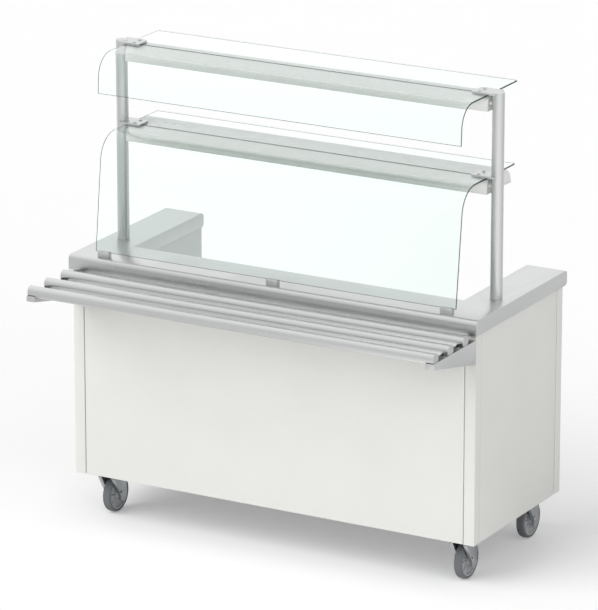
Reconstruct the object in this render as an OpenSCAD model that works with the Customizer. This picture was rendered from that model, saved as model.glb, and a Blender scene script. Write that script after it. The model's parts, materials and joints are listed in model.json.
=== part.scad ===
// Mobile salad bar: a U-shaped counter on swivel castors, with a two-tier glass display
// and a three-tube tray slide. The customer side faces -Y and the staff side +Y.
// The origin is on the floor, at the centre of the whole footprint.

/* [Worktop] */
// Length of the worktop, end to end
wt_w = 1500; // [1200:10:1800]
// Depth of the worktop, front to back
wt_d = 640; // [600:5:700]
// Height of the worktop's upper face above the floor
wt_h = 910; // [880:5:930]
// Depth of the worktop's turned-down edge
wt_edge = 50; // [45:1:60]
// Width of each side arm of the U
arm_w = 140; // [130:5:180]
// Depth of the front strip of the U
strip_d = 184; // [170:1:200]
// Radius of the worktop's front nose
nose_r = 15; // [8:1:18]
// Radius of the bullnose at the rear end of each arm
tail_r = 14; // [8:1:18]
// Thickness of the worktop's steel skin
wt_skin = 2; // [1.5:0.5:3]

/* [Cabinet] */
// Overhang of the worktop past each end of the cabinet
over_end = 8; // [4:1:20]
// Overhang of the worktop past the cabinet at front and rear
over_front = 14; // [4:1:20]
// Height of the cabinet's underside above the floor
body_z = 155; // [153:1:165]
// Width of each square corner post
corner_w = 38; // [30:1:45]
// Thickness of the folded sheet panels
sheet = 2; // [1.5:0.5:3]
// Depth of the returned edges of each panel
panel_return = 20; // [15:1:25]
// Width of the shadow gap between a panel and its neighbour
reveal = 3; // [1:0.5:4]

/* [Glass display] */
// Outer diameter of each gantry post
post_d = 40; // [36:1:45]
// Distance from the worktop's end to a post's centre
post_inset = 60; // [50:1:70]
// Distance from the worktop's front edge to a post's centre
post_back = 252; // [230:1:270]
// Thickness of every glass pane
glass_t = 6; // [5:0.5:8]
// Height of the lower shelf's upper face above the floor
lower_z = 1309; // [1250:1:1340]
// Height of the upper shelf's upper face above the floor
upper_z = 1580; // [1540:1:1620]
// Distance from the worktop's front edge to the seam where shelf and guard glass meet
seam_back = 246; // [230:1:260]
// Depth of the lower shelf pane
lower_shelf_d = 181; // [160:1:200]
// Depth of the upper shelf pane
upper_shelf_d = 191; // [170:1:210]

/* [Glass guards] */
// Setback of the lower guard's bottom edge from the worktop's front edge
lower_foot = 27; // [24:1:40]
// Gap between the worktop and the lower guard's bottom edge
lower_gap = 18; // [15:1:25]
// Rearward lean of the lower guard
lower_lean = 6.6; // [4:0.1:9]
// Bend radius of the lower guard
lower_bend = 90; // [60:5:120]
// Setback of the upper guard's bottom edge from the worktop's front edge
upper_foot = 52; // [40:1:70]
// Drop of the upper guard's bottom edge below the upper shelf
upper_drop = 127; // [100:1:150]
// Rearward lean of the upper guard
upper_lean = 3; // [0:0.5:8]
// Bend radius of the upper guard
upper_bend = 76; // [50:2:90]

/* [Light hoods] */
// Height of each hood
hood_h = 50; // [40:1:60]
// Width of the lower hood across its open underside
lower_hood_w = 170; // [150:1:180]
// Width of the lower hood's flat top
lower_hood_top_w = 104; // [90:1:120]
// Width of the upper hood across its open underside
upper_hood_w = 80; // [78:1:106]
// Width of the upper hood's flat top
upper_hood_top_w = 36; // [34:1:56]
// Setback of the hood's front lip from the worktop's front edge
hood_back = 230; // [225:1:240]
// Width of the turned-in lips along the open underside
hood_lip = 8; // [6:1:16]

/* [Tray slide] */
// Reach of the tray slide past the worktop's front edge
slide_reach = 272; // [240:1:300]
// Width of each bracket
bracket_w = 30; // [24:1:36]
// Height of a bracket at its front end
bracket_tip_h = 19; // [15:1:25]
// Height of a bracket where it meets the cabinet
bracket_root_h = 80; // [60:1:90]
// Drop of the bracket's top edge below the worktop's underside
bracket_drop = 16; // [10:1:30]
// Outer diameter of each slide tube
slide_tube_d = 38; // [32:1:42]
// Spacing of the slide tubes
slide_pitch = 101; // [90:1:110]
// Depth of the saddle that each tube rests in
saddle_depth = 8; // [5:1:10]

/* [Castors] */
// Wheel diameter
wheel_d = 125; // [120:1:130]
// Tread width
wheel_w = 30; // [26:1:34]
// Distance from each face of the cabinet to a castor's swivel axis
castor_inset = 85; // [80:1:95]
// Horizontal distance from the swivel axis back to the wheel's axle
trail = 28; // [25:1:36]
// Thickness of the pressed fork
fork_t = 3; // [2.5:0.5:4]

/* [Hidden] */
$fn = 48;
eps = 0.01;

// Colours: the drawing is plain white, so these are usual trade finishes
steel = "gainsboro";
panel_white = "whitesmoke";
glass_tint = [0.75, 0.88, 0.86, 0.4];
zinc = "silver";
tread_grey = "dimgray";

// Worktop and cabinet limits. Y is measured from the centre of the whole footprint.
wt_front = (slide_reach - wt_d) / 2;
wt_rear = wt_front + wt_d;
wt_x = wt_w / 2;
wt_under = wt_h - wt_edge;
bay_x = wt_x - arm_w;
bay_y = wt_front + strip_d;
body_x = wt_x - over_end;
body_front = wt_front + over_front;
body_rear = wt_rear - over_front;
body_h = wt_under - body_z;
edge_return = 20;
core_t = 18;

// Base frame
rail = 40;
rail_wall = 3;
pad_t = 5;
pad_w = 120;
pad_d = 92;
frame_gap = panel_return + 1;
rail_z = body_z + pad_t;
deck_z = rail_z + rail;
frame_x = body_x - frame_gap;
frame_front = body_front + frame_gap;
frame_rear = body_rear - frame_gap;

// Posts
post_x = wt_x - post_inset;
post_y = wt_front + post_back;
post_r = post_d / 2;
post_wall = 2;
plate_t = 6;
post_top = upper_z + plate_t - 2;
stud_r = 6;

// Glass
seam_y = wt_front + seam_back;
seam_gap = 2;
glass_inset = 88;
bend_steps = 18;
glass_x = wt_x - glass_inset;
lower_foot_at = [wt_front + lower_foot, wt_h + lower_gap];
upper_foot_at = [wt_front + upper_foot, upper_z - upper_drop];

// Hoods
hood_x = glass_x - 2;
hood_t = 2;
hood_cap_t = 3;
hood_shoulder = 16;
hood_steps = 8;
hood_boss_r = 9;
hood_y = wt_front + hood_back;
lower_hood_z = lower_z - glass_t - hood_h;
upper_hood_z = upper_z - glass_t - hood_h;
lower_hood_size = [lower_hood_w, lower_hood_top_w];
upper_hood_size = [upper_hood_w, upper_hood_top_w];
lamp_tray_w = 26;
lamp_tray_h = 16;
lamp_r = 8;
lamp_len = 1149;
lamp_drop = 12;
holder_w = 22;
holder_t = 20;

// Clamps
clamp_x = wt_x - 140;
clamp_front = wt_front + 223;
clamp_rear = wt_front + 289;
clamp_corner = 14;
clamp_front_corner = 3;
clamp_screw_x = wt_x - 118;
clamp_screw_back = [-12, 24];
clamp_screw_r = 3;
clamp_screw_head = 2.5;
glass_hole_r = 5;

// Guard clips
clip_w = 41;
clip_h = lower_gap + 2;
clip_d = 20;
clip_lap = 7;
clip_x = [-630, 0, 630];

// Tray slide
bracket_top = wt_under - bracket_drop;
bracket_tip = wt_front - slide_reach;
slide_r = slide_tube_d / 2;
slide_z = bracket_top + slide_r - saddle_depth;
slide_y = [for (i = [0:2]) bracket_tip + slide_r + i * slide_pitch];
slide_x = body_x - sheet - 0.5;
slide_wall = 1.5;
cap_t = 2;
cap_plug = 14;
bracket_bolt_drop = [30, 62];

// Castors
swivel_x = body_x - castor_inset;
swivel_y = [body_front + castor_inset, body_rear - castor_inset];
wheel_r = wheel_d / 2;
kingpin_r = 6;
kingpin_head_r = 11;
axle_r = 6;
run = 0.05;
plate_size = [100, 85, 4];
plate_z = body_z - plate_size[2];
plate_hole_x = 40;
plate_hole_y = 30;
plate_hole_r = 4.5;
bolt_r = 4;
crown_z = 139;
crown_t = 6;
crown_r = 31;
race_gap = 0.8;
leg_gap = 38;
leg_top_z = crown_z - 8;
leg_lobe = [42, 54];
leg_lobe_r = 21;
leg_rear_z = 104;
flange_w = 10;
flange_taper = 30;
tread_t = 10;
side_play = 0.8;

// ---- shared shapes ----

// Points along an arc, for the corner of an outline
function arc(centre, r, from, to, steps = 8) =
    [for (i = [0:steps]) let (a = from + (to - from) * i / steps)
        centre + r * [cos(a), sin(a)]];

// A point on a quadratic curve
function curve(a, b, c, t) = (1 - t) * (1 - t) * a + 2 * t * (1 - t) * b + t * t * c;

// Carries an outline drawn in (Y, Z) along X, from x0 over a length
module along_x(x0, length) {
    translate([x0, 0, 0])
        rotate([90, 0, 90])
            linear_extrude(height = length) children();
}

module box(low, high) {
    translate(low) cube(high - low);
}

// Both ends of the counter: the children are drawn for the +X end
module both_ends() {
    children();
    mirror([1, 0, 0]) children();
}

module hex_head() {
    cylinder(r = 6.5, h = 5, $fn = 6);
}

// ---- worktop ----

// Side outline: square lower front, rounded nose, bullnosed rear end. k moves every side inwards.
module worktop_side(k) {
    nose = nose_r - k;
    tail = tail_r - k;
    top = wt_h - k;
    bottom = wt_under + k;
    front = wt_front + k;
    rear = wt_rear - k;
    polygon(concat(
        [[front, bottom]],
        arc([rear - tail, bottom + tail], tail, -90, 0),
        arc([rear - tail, top - tail], tail, 0, 90),
        arc([front + nose, top - nose], nose, 90, 180)
    ));
}

// Plan of the U, open to the rear. k moves every side inwards.
module worktop_plan(k) {
    difference() {
        translate([k - wt_x, wt_front + k]) square([2 * (wt_x - k), wt_d - 2 * k]);
        translate([-bay_x - k, bay_y - k]) square([2 * (bay_x + k), wt_d]);
    }
}

module worktop_solid(k) {
    intersection() {
        along_x(-wt_x, wt_w) worktop_side(k);
        translate([0, 0, wt_under - 1]) linear_extrude(height = wt_edge + 2) worktop_plan(k);
    }
}

module worktop() {
    color(steel) difference() {
        worktop_solid(0);
        worktop_solid(wt_skin);
        translate([0, 0, wt_under - 1])
            linear_extrude(height = wt_skin + 2) worktop_plan(edge_return);
        stud_holes();
    }
}

module worktop_core() {
    top = wt_h - wt_skin;
    color("burlywood") difference() {
        translate([0, 0, top - core_t])
            linear_extrude(height = core_t) worktop_plan(nose_r + wt_skin);
        stud_holes();
    }
}

module stud_holes() {
    both_ends()
        translate([post_x, post_y, wt_under - 1]) cylinder(r = stud_r + 0.5, h = wt_edge + 2);
}

// ---- cabinet ----

// A folded tray, open on its inner side. It lies in XZ with its outer face towards -Y.
module panel_tray(length, height) {
    difference() {
        cube([length, panel_return, height]);
        translate([sheet, sheet, sheet])
            cube([length - 2 * sheet, panel_return, height - 2 * sheet]);
    }
}

module front_panel() {
    length = 2 * (body_x - corner_w - reveal);
    color(panel_white) translate([-length / 2, body_front + 1, body_z]) panel_tray(length, body_h);
}

module end_panel() {
    length = body_rear - body_front - 2 * (corner_w + reveal);
    color(panel_white) translate([body_x - 1, body_front + corner_w + reveal, body_z])
        rotate([0, 0, 90]) panel_tray(length, body_h);
}

module end_panel_right() { end_panel(); }
module end_panel_left() { mirror([1, 0, 0]) end_panel(); }

// Square tube with a capped foot, at the front or rear of the +X end
module corner_post(y) {
    color(panel_white) translate([body_x - corner_w, y, body_z]) difference() {
        cube([corner_w, corner_w, body_h]);
        translate([sheet, sheet, sheet])
            cube([corner_w - 2 * sheet, corner_w - 2 * sheet, body_h]);
    }
}

module corner_post_front_right() { corner_post(body_front); }
module corner_post_rear_right() { corner_post(body_rear - corner_w); }
module corner_post_front_left() { mirror([1, 0, 0]) corner_post(body_front); }
module corner_post_rear_left() { mirror([1, 0, 0]) corner_post(body_rear - corner_w); }

// One hollow rail of the base frame, from corner to corner
module frame_rail(low, size) {
    along = size[0] > size[1] ? [1, 0] : [0, 1];
    wall = rail_wall;
    difference() {
        translate(low) cube(size);
        translate(low + [along[0] ? -1 : wall, along[1] ? -1 : wall, wall])
            cube(size + [along[0] ? 2 : -2 * wall, along[1] ? 2 : -2 * wall, -2 * wall]);
    }
}

// The front and rear rails run between the corner posts. An end rail and a cross rail flank each
// row of castors, and each pad is welded under both of them.
module base_frame() {
    depth = frame_rear - frame_front;
    post_side = body_x - corner_w;
    cross_x = swivel_x - pad_w / 2;
    color(zinc) difference() {
        union() {
            for (y = [frame_front, frame_rear - rail])
                frame_rail([-post_side, y, rail_z], [2 * post_side, rail, rail]);
            both_ends() {
                frame_rail([frame_x - rail, body_front + corner_w, rail_z],
                    [rail, body_rear - body_front - 2 * corner_w, rail]);
                frame_rail([cross_x, frame_front + rail - rail_wall, rail_z],
                    [rail, depth - 2 * (rail - rail_wall), rail]);
            }
            for (x = [-swivel_x, swivel_x], y = swivel_y)
                box([x - pad_w / 2, y - pad_d / 2, body_z], [x + pad_w / 2, y + pad_d / 2, rail_z]);
        }
        for (x = [-swivel_x, swivel_x], y = swivel_y)
            translate([x, y, body_z - 1]) at_plate_holes() cylinder(r = bolt_r, h = pad_t + rail_wall + 2);
    }
}

// Floor sheet, notched round the corner posts, with a nose that turns down at the rear of the bay
module base_deck() {
    corner = corner_w - frame_gap;
    nose = body_rear - 1;
    color(steel) difference() {
        union() {
            box([-frame_x, frame_front, deck_z], [frame_x, frame_rear, deck_z + sheet]);
            box([-bay_x, frame_rear, deck_z], [bay_x, nose, deck_z + sheet]);
            box([-bay_x, nose - sheet, body_z], [bay_x, nose, deck_z + sheet]);
        }
        for (x = [-frame_x, frame_x], y = [frame_front, frame_rear])
            box([x - corner, y - corner, deck_z - 1], [x + corner, y + corner, deck_z + sheet + 1]);
    }
}

// Folded sheet that closes an arm: its inner side and its narrow rear face
module pedestal_lining() {
    low = deck_z + sheet;
    rear = body_rear - 1;
    outer = body_x - corner_w - reveal;
    color(steel) union() {
        box([bay_x, bay_y, low], [bay_x + sheet, rear, wt_under]);
        box([bay_x, rear - sheet, body_z], [outer, rear, wt_under]);
        box([outer - sheet, rear - panel_return, low], [outer, rear, wt_under]);
    }
}

module pedestal_lining_right() { pedestal_lining(); }
module pedestal_lining_left() { mirror([1, 0, 0]) pedestal_lining(); }

module bay_front_panel() {
    low = deck_z + sheet;
    color(steel) union() {
        box([-bay_x - sheet, bay_y - sheet, low], [bay_x + sheet, bay_y, wt_under]);
        both_ends()
            box([bay_x, bay_y - panel_return, low], [bay_x + sheet, bay_y, wt_under]);
    }
}

// ---- gantry posts ----

module gantry_post() {
    color(steel) translate([post_x, post_y, wt_h]) difference() {
        cylinder(r = post_r, h = post_top - wt_h);
        translate([0, 0, -1]) cylinder(r = post_r - post_wall, h = post_top - wt_h + 2);
    }
}

module gantry_post_right() { gantry_post(); }
module gantry_post_left() { mirror([1, 0, 0]) gantry_post(); }

module post_caps() {
    color(steel) both_ends() translate([post_x, post_y, post_top]) rotate_extrude($fn = 64)
        polygon(concat(
            [[0, -15], [post_r - post_wall, -15], [post_r - post_wall, 0], [post_r, 0]],
            arc([post_r - 2, 1], 2, 0, 90, 4),
            [[0, 3]]
        ));
}

// Plug in the foot of each post, with the stud, washer and nut that pull it down
module post_fixings() {
    plug_h = 30;
    washer_z = wt_h - wt_skin - core_t;
    color(zinc) both_ends() translate([post_x, post_y, 0]) {
        translate([0, 0, wt_h]) cylinder(r = post_r - post_wall, h = plug_h);
        translate([0, 0, washer_z - 16]) cylinder(r = stud_r, h = wt_h - washer_z + 16);
        translate([0, 0, washer_z - 3]) cylinder(r = 18, h = 3);
        translate([0, 0, washer_z - 13]) cylinder(r = 11, h = 10, $fn = 6);
    }
}

// ---- glass ----

module glass_pane(depth, top) {
    color(glass_tint) difference() {
        box([-glass_x, seam_y + seam_gap / 2, top - glass_t], [glass_x, seam_y + depth, top]);
        glass_screw_holes(top, clamp_screw_back[1]);
    }
}

module glass_screw_holes(top, back) {
    both_ends() translate([clamp_screw_x, seam_y + back, top - glass_t - 1])
        cylinder(r = glass_hole_r, h = glass_t + 2);
}

// Bent pane: a straight leaning part, one bend and a flat top that ends at the seam.
// foot is the outer bottom corner as [Y, Z].
module bent_pane(foot, lean, bend, top) {
    corner_y = foot[0] + (top - foot[1]) * tan(lean);
    hub = [corner_y + bend * tan((90 - lean) / 2), top - bend];
    end_y = seam_y - seam_gap / 2;
    color(glass_tint) difference() {
        along_x(-glass_x, 2 * glass_x) polygon(concat(
            [foot],
            arc(hub, bend, 180 - lean, 90, bend_steps),
            [[end_y, top], [end_y, top - glass_t]],
            arc(hub, bend - glass_t, 90, 180 - lean, bend_steps),
            [foot + glass_t * [cos(lean), -sin(lean)]]
        ));
        glass_screw_holes(top, clamp_screw_back[0]);
    }
}

module upper_shelf_glass() { glass_pane(upper_shelf_d, upper_z); }
module lower_shelf_glass() { glass_pane(lower_shelf_d, lower_z); }

module upper_guard_glass() { bent_pane(upper_foot_at, upper_lean, upper_bend, upper_z); }
module lower_guard_glass() { bent_pane(lower_foot_at, lower_lean, lower_bend, lower_z); }

// ---- light hoods ----

// Cross-section of a hood with its lower front corner at [0, 0]. size is its width across the
// open underside and across its flat top, and k moves the flanks inwards.
function hood_front(k, from) = [for (i = [from:hood_steps])
    curve([k, 0], [k - 4, hood_h * 0.62], [hood_shoulder + k / 2, hood_h - k], i / hood_steps)];
function hood_rear(size, k, from) = [for (i = [from:hood_steps])
    curve([size[0] - k, 0], [size[0] - 6 - k, hood_h - k],
        [hood_shoulder + size[1] - k / 2, hood_h - k], i / hood_steps)];
function backwards(points) = [for (i = [len(points) - 1:-1:0]) points[i]];

// Open-bottomed shell with a lip turned in along each side of the opening
module hood_shell(size) {
    rear = size[0];
    polygon(concat(
        [[hood_lip, 0]], hood_front(0, 0), backwards(hood_rear(size, 0, 0)),
        [[rear - hood_lip, 0], [rear - hood_lip, hood_t], [rear - hood_t, hood_t]],
        hood_rear(size, hood_t, 1), backwards(hood_front(hood_t, 1)),
        [[hood_t, hood_t], [hood_lip, hood_t]]
    ));
}

module hood(z, size) {
    color(panel_white) difference() {
        along_x(-hood_x, 2 * hood_x) translate([hood_y, z]) hood_shell(size);
        for (back = clamp_screw_back)
            both_ends() translate([clamp_screw_x, seam_y + back, z + hood_h / 2])
                cylinder(r = clamp_screw_r, h = hood_h);
    }
}

module hood_ends(z, size) {
    boss_z = z + hood_h / 2;
    color(panel_white) both_ends() {
        along_x(hood_x, hood_cap_t) translate([hood_y, z])
            polygon(concat(hood_front(0, 0), backwards(hood_rear(size, 0, 0))));
        difference() {
            translate([hood_x + hood_cap_t, post_y, boss_z])
                rotate([0, 90, 0]) cylinder(r = hood_boss_r, h = post_x - hood_x - hood_cap_t);
            translate([post_x, post_y, z]) cylinder(r = post_r, h = hood_h, $fn = 96);
        }
    }
}

module upper_hood() { hood(upper_hood_z, upper_hood_size); }
module lower_hood() { hood(lower_hood_z, lower_hood_size); }
module upper_hood_ends() { hood_ends(upper_hood_z, upper_hood_size); }
module lower_hood_ends() { hood_ends(lower_hood_z, lower_hood_size); }

// Each lamp hangs under the middle of its hood's flat top. The children are drawn for a lamp with
// its hood's underside at Z = 0.
module in_each_hood() {
    for (place = [[upper_hood_z, upper_hood_top_w], [lower_hood_z, lower_hood_top_w]])
        translate([0, hood_y + hood_shoulder + place[1] / 2, place[0]]) children();
}

// Folded channel under the hood's top, with a holder at each end of the lamp
module lamp_trays() {
    half = lamp_len / 2 + holder_t;
    side = lamp_tray_w / 2;
    top = hood_h - hood_t;
    floor_z = top - lamp_tray_h;
    color(panel_white) in_each_hood() union() {
        difference() {
            box([-half, -side, floor_z], [half, side, top]);
            box([-half + 1, -side + 1, floor_z + 1], [half - 1, side - 1, top + 1]);
        }
        both_ends()
            box([lamp_len / 2, -holder_w / 2, floor_z - holder_w], [half, holder_w / 2, floor_z]);
    }
}

module lamp_tubes() {
    lamp_z = hood_h - hood_t - lamp_tray_h - lamp_drop;
    color("white") in_each_hood() translate([-lamp_len / 2, 0, lamp_z])
        rotate([0, 90, 0]) difference() {
            cylinder(r = lamp_r, h = lamp_len);
            translate([0, 0, 2]) cylinder(r = lamp_r - 1, h = lamp_len - 4);
        }
}

// ---- clamps ----

// Plate that holds both panes down on the hood and is notched round the inner half of the post
module clamp_plate(top) {
    rear_r = clamp_corner;
    front_r = clamp_front_corner;
    color(zinc) both_ends() translate([0, 0, top]) difference() {
        linear_extrude(height = plate_t) polygon(concat(
            arc([clamp_x + front_r, clamp_front + front_r], front_r, 180, 270, 4),
            [[post_x, clamp_front], [post_x, clamp_rear]],
            arc([clamp_x + rear_r, clamp_rear - rear_r], rear_r, 90, 180, 6)
        ));
        translate([post_x, post_y, -1]) cylinder(r = post_r, h = plate_t + 2, $fn = 96);
        for (back = clamp_screw_back)
            translate([clamp_screw_x, seam_y + back, -1]) cylinder(r = clamp_screw_r, h = plate_t + 2);
    }
}

module upper_clamps() { clamp_plate(upper_z); }
module lower_clamps() { clamp_plate(lower_z); }

module clamp_screws() {
    length = plate_t + glass_t + hood_t + 4;
    for (top = [upper_z, lower_z], back = clamp_screw_back)
        color(zinc) both_ends() translate([clamp_screw_x, seam_y + back, top + plate_t])
            rotate_extrude() polygon(concat(
                [[0, -length], [clamp_screw_r, -length], [clamp_screw_r, 0]],
                arc([clamp_screw_r + 0.5, 0], clamp_screw_head, 0, 90, 4),
                [[0, clamp_screw_head]]
            ));
}

// Clips on the front strip: each has a slot at the guard's own lean
module guard_clips() {
    color(zinc) for (x = clip_x) difference() {
        translate([x - clip_w / 2, lower_foot_at[0] - clip_lap, wt_h]) cube([clip_w, clip_d, clip_h]);
        along_x(x - clip_w / 2 - 1, clip_w + 2)
            translate(lower_foot_at) rotate(-lower_lean) square([glass_t, 20]);
    }
}

// ---- tray slide ----

module bracket_outline() {
    root_y = body_front;
    polygon([[bracket_tip, bracket_top - bracket_tip_h], [root_y, bracket_top - bracket_root_h],
        [root_y, bracket_top], [bracket_tip, bracket_top]]);
}

// Folded bracket: a plain outer side, a saddled inner side and rib, a sloping floor and a tip
module tray_bracket() {
    outer = body_x;
    inner = body_x - bracket_w;
    color(zinc) difference() {
        along_x(inner, bracket_w) bracket_outline();
        difference() {
            along_x(inner + sheet, bracket_w - 2 * sheet)
                translate([0, sheet]) bracket_outline();
            box([inner, bracket_tip - 1, 0], [outer, bracket_tip + sheet, wt_h]);
            box([inner, body_front - 2 * sheet, 0], [outer, body_front, wt_h]);
            for (y = slide_y)
                box([inner, y - sheet, 0], [outer - sheet, y + sheet, bracket_top]);
        }
        for (y = slide_y)
            translate([inner - 1, y, slide_z])
                rotate([0, 90, 0]) cylinder(r = slide_r, h = bracket_w + 1 - sheet);
    }
}

module tray_bracket_right() { tray_bracket(); }
module tray_bracket_left() { mirror([1, 0, 0]) tray_bracket(); }

module tray_tube(y) {
    length = 2 * (slide_x - cap_t);
    color(steel) translate([-length / 2, y, slide_z]) rotate([0, 90, 0]) difference() {
        cylinder(r = slide_r, h = length);
        translate([0, 0, -1]) cylinder(r = slide_r - slide_wall, h = length + 2);
    }
}

module tray_tube_front() { tray_tube(slide_y[0]); }
module tray_tube_middle() { tray_tube(slide_y[1]); }
module tray_tube_rear() { tray_tube(slide_y[2]); }

module tray_tube_caps() {
    color(tread_grey) for (y = slide_y) both_ends() translate([slide_x - cap_t, y, slide_z])
        rotate([0, 90, 0]) {
            cylinder(r = slide_r, h = cap_t);
            translate([0, 0, -cap_plug]) cylinder(r = slide_r - slide_wall, h = cap_plug);
        }
}

module bracket_bolts() {
    x = body_x - bracket_w / 2;
    color(zinc) for (drop = bracket_bolt_drop) both_ends()
        translate([x, body_front - 2 * sheet, bracket_top - drop]) rotate([90, 0, 0]) hex_head();
}

// ---- castors ----

module at_plate_holes() {
    for (x = [-plate_hole_x, plate_hole_x], y = [-plate_hole_y, plate_hole_y])
        translate([x, y, 0]) children();
}

// Bolts that go up through a castor's plate into the tapped pad
module castor_bolts() {
    color(zinc) for (x = [-swivel_x, swivel_x], y = swivel_y)
        translate([x, y, plate_z]) at_plate_holes() {
            mirror([0, 0, 1]) hex_head();
            cylinder(r = bolt_r, h = plate_size[2] + pad_t + rail_wall);
        }
}

// Fixed part: plate, raceway and the kingpin that holds the fork up
module castor_plate(sx, row) {
    race_h = plate_z - crown_z - crown_t - race_gap + eps;
    color(zinc) translate([sx * swivel_x, swivel_y[row], 0]) union() {
        translate([0, 0, plate_z]) difference() {
            translate([-plate_size[0] / 2, -plate_size[1] / 2, 0]) cube(plate_size);
            translate([0, 0, -1]) at_plate_holes() cylinder(r = plate_hole_r, h = plate_size[2] + 2);
        }
        translate([0, 0, crown_z + crown_t + race_gap])
            rotate_extrude() polygon([[0, 0], [22, 0], [28, race_h], [0, race_h]]);
        translate([0, 0, crown_z - 6]) cylinder(r = kingpin_r, h = crown_t + 12);
        translate([0, 0, crown_z - 6.5]) cylinder(r = kingpin_head_r, h = 5.5);
    }
}

// Outline of a fork leg in (Y, Z) from the swivel axis: a straight front edge that runs on into a
// round foot below and behind the axle, and an upright rear edge
function leg_front() = [-crown_r, leg_top_z];
function leg_reach() = leg_lobe - leg_front();
function leg_slope() = atan2(-leg_reach()[1], leg_reach()[0]) + asin(leg_lobe_r / norm(leg_reach()));

module leg_outline() {
    top_z = crown_z + crown_t;
    polygon(concat(
        [[crown_r, top_z], [-crown_r, top_z], leg_front()],
        arc(leg_lobe, leg_lobe_r, -90 - leg_slope(), 0, 16),
        [[leg_lobe[0] + leg_lobe_r, leg_rear_z], [crown_r, crown_z]]
    ));
}

// Stiffening flange that turns outwards along a leg's straight front edge and tapers out at its
// foot. Drawn for the +X leg.
module leg_flange() {
    straight = sqrt(norm(leg_reach()) ^ 2 - leg_lobe_r ^ 2);
    translate([leg_gap / 2 + fork_t - eps, leg_front()[0], leg_front()[1]])
        rotate([-leg_slope(), 0, 0]) linear_extrude(height = fork_t)
            polygon([[0, 0], [flange_w, 0], [flange_w, straight - flange_taper], [0, straight]]);
}

module castor_fork(sx, row) {
    half = leg_gap / 2 + fork_t;
    color(zinc) translate([sx * swivel_x, swivel_y[row], 0]) difference() {
        union() {
            translate([0, 0, crown_z]) cylinder(r = crown_r, h = crown_t);
            both_ends() {
                along_x(leg_gap / 2, fork_t) leg_outline();
                leg_flange();
            }
        }
        translate([0, 0, crown_z - 1]) cylinder(r = kingpin_r + run, h = crown_t + 2);
        translate([-half - 1, trail, wheel_r]) rotate([0, 90, 0]) cylinder(r = axle_r, h = 2 * half + 2);
    }
}

module castor_axle(sx, row) {
    half = leg_gap / 2 + fork_t;
    color(zinc) translate([sx * swivel_x, swivel_y[row] + trail, wheel_r]) rotate([0, 90, 0]) union() {
        translate([0, 0, -half]) cylinder(r = axle_r, h = 2 * half);
        translate([0, 0, half]) cylinder(r = 10, h = 6, $fn = 6);
        translate([0, 0, -half - 6]) cylinder(r = 10, h = 6, $fn = 6);
    }
}

module castor_hub(sx, row) {
    half = leg_gap / 2 - side_play;
    rim = wheel_r - tread_t;
    color("lightgray") translate([sx * swivel_x, swivel_y[row] + trail, wheel_r])
        rotate([0, 90, 0]) rotate_extrude($fn = 96) polygon([
            [axle_r + run, -half], [15, -half], [17, -5], [rim - 6, -4], [rim - 3, -wheel_w / 2 + 2],
            [rim, -wheel_w / 2 + 2], [rim, wheel_w / 2 - 2], [rim - 3, wheel_w / 2 - 2],
            [rim - 6, 4], [17, 5], [15, half], [axle_r + run, half],
        ]);
}

module castor_tyre(sx, row) {
    rim = wheel_r - tread_t;
    half = wheel_w / 2;
    shoulder = 7;
    color(tread_grey) translate([sx * swivel_x, swivel_y[row] + trail, wheel_r])
        rotate([0, 90, 0]) rotate_extrude($fn = 96) polygon(concat(
            [[rim, -half + 2]],
            arc([wheel_r - shoulder, -half + shoulder], shoulder, -90, 0, 6),
            arc([wheel_r - shoulder, half - shoulder], shoulder, 0, 90, 6),
            [[rim, half - 2]]
        ));
}

module castor_plate_front_left() { castor_plate(-1, 0); }
module castor_plate_front_right() { castor_plate(1, 0); }
module castor_plate_rear_left() { castor_plate(-1, 1); }
module castor_plate_rear_right() { castor_plate(1, 1); }
module castor_fork_front_left() { castor_fork(-1, 0); }
module castor_fork_front_right() { castor_fork(1, 0); }
module castor_fork_rear_left() { castor_fork(-1, 1); }
module castor_fork_rear_right() { castor_fork(1, 1); }
module castor_axle_front_left() { castor_axle(-1, 0); }
module castor_axle_front_right() { castor_axle(1, 0); }
module castor_axle_rear_left() { castor_axle(-1, 1); }
module castor_axle_rear_right() { castor_axle(1, 1); }
module castor_hub_front_left() { castor_hub(-1, 0); }
module castor_hub_front_right() { castor_hub(1, 0); }
module castor_hub_rear_left() { castor_hub(-1, 1); }
module castor_hub_rear_right() { castor_hub(1, 1); }
module castor_tyre_front_left() { castor_tyre(-1, 0); }
module castor_tyre_front_right() { castor_tyre(1, 0); }
module castor_tyre_rear_left() { castor_tyre(-1, 1); }
module castor_tyre_rear_right() { castor_tyre(1, 1); }

worktop();
worktop_core();
front_panel();
end_panel_left();
end_panel_right();
corner_post_front_left();
corner_post_front_right();
corner_post_rear_left();
corner_post_rear_right();
base_frame();
base_deck();
pedestal_lining_left();
pedestal_lining_right();
bay_front_panel();
gantry_post_left();
gantry_post_right();
post_caps();
post_fixings();
upper_hood();
lower_hood();
upper_hood_ends();
lower_hood_ends();
lamp_trays();
lamp_tubes();
upper_shelf_glass();
lower_shelf_glass();
upper_guard_glass();
lower_guard_glass();
upper_clamps();
lower_clamps();
clamp_screws();
guard_clips();
tray_bracket_left();
tray_bracket_right();
tray_tube_front();
tray_tube_middle();
tray_tube_rear();
tray_tube_caps();
bracket_bolts();
castor_plate_front_left();
castor_fork_front_left();
castor_axle_front_left();
castor_hub_front_left();
castor_tyre_front_left();
castor_plate_front_right();
castor_fork_front_right();
castor_axle_front_right();
castor_hub_front_right();
castor_tyre_front_right();
castor_plate_rear_left();
castor_fork_rear_left();
castor_axle_rear_left();
castor_hub_rear_left();
castor_tyre_rear_left();
castor_plate_rear_right();
castor_fork_rear_right();
castor_axle_rear_right();
castor_hub_rear_right();
castor_tyre_rear_right();
castor_bolts();
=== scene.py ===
"""The looks of a mobile salad bar, dressed around its packed construction model."""

import functools
import json
import math

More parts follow.
